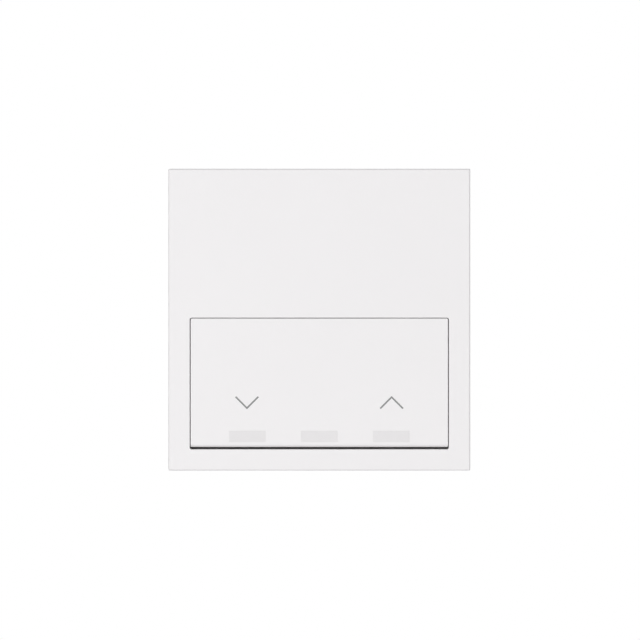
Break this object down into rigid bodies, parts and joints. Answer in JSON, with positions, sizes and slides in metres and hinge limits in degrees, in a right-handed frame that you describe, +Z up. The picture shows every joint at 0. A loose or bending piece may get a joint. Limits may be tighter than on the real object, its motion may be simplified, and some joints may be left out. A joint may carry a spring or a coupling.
{
  "type": "roller shutter switch",
  "caption": "Flush-mounted square roller shutter switch with one wide rocking key for down and up, light windows and an electronic wall-box insert.",
  "frame": {"origin": "centre of the cover plate on the wall's surface, which is the axis of the wall box", "axes": "+X right and +Z up as seen from the room, +Y into the wall, so the key's face looks along -Y"},
  "size_m": [0.09, 0.041, 0.09],
  "materials": {
    "white": "satin gloss white polycarbonate",
    "window": "frosted translucent polycarbonate",
    "dark": "moulded dark polyamide",
    "grey": "moulded grey polyamide",
    "zinc": "zinc plated sheet steel",
    "steel": "bright machined steel",
    "brass": "plain brass",
    "laminate": "green solder resist on glass laminate",
    "ivory": "ivory plastic",
    "blue": "blue plastic or dipped epoxy",
    "yellow": "yellow film and tape",
    "can": "drawn aluminium can"
  },
  "bodies": {
    "root": {"cover_plate": "white", "carrier_frame": "dark", "pivot_pin_upper": "steel", "pivot_pin_lower": "steel", "control_board": "laminate", "down_switch_body": "dark", "up_switch_body": "dark", "led_left": "ivory", "led_centre": "ivory", "led_right": "ivory", "controller_chip": "dark", "header_socket": "dark", "header_pins": "dark", "support_plate": "zinc", "insert_lid": "grey", "insert_housing": "grey", "housing_screw_upper_left": "steel", "housing_screw_upper_right": "steel", "housing_screw_lower_left": "steel", "housing_screw_lower_right": "steel", "power_board": "laminate", "down_relay": "blue", "up_relay": "blue", "film_capacitor": "yellow", "transformer": "yellow", "electrolytic_capacitor": "can", "varistor": "blue", "fuse": "ivory", "terminal_cage_1": "brass", "terminal_screw_1": "steel", "terminal_cage_2": "brass", "terminal_screw_2": "steel", "terminal_cage_3": "brass", "terminal_screw_3": "steel", "terminal_cage_4": "brass", "terminal_screw_4": "steel"},
    "rocker": {"rocker_key": "white", "light_window_left": "window", "light_window_centre": "window", "light_window_right": "window"},
    "down_stem": {"down_switch_stem": "ivory"},
    "up_stem": {"up_switch_stem": "ivory"}
  },
  "joints": [
    {"name": "rocker_tilt", "type": "hinge", "parent": "root", "child": "rocker", "pos_m": [0, -0.0062, -0.01883], "axis": [0, 0, 1], "range_deg": [-1.6, 1.6], "stiffness_Nm_per_rad": 0.8},
    {"name": "down_stem_press", "type": "slide", "parent": "root", "child": "down_stem", "axis": [0, 1, 0], "range_m": [-0.0006, 0.0006]},
    {"name": "up_stem_press", "type": "slide", "parent": "root", "child": "up_stem", "axis": [0, 1, 0], "range_m": [-0.0006, 0.0006]}
  ],
  "couplings": [
    {"joint": "down_stem_press", "follows": "rocker_tilt", "m_per_rad": -0.0215},
    {"joint": "up_stem_press", "follows": "rocker_tilt", "m_per_rad": 0.0215}
  ]
}
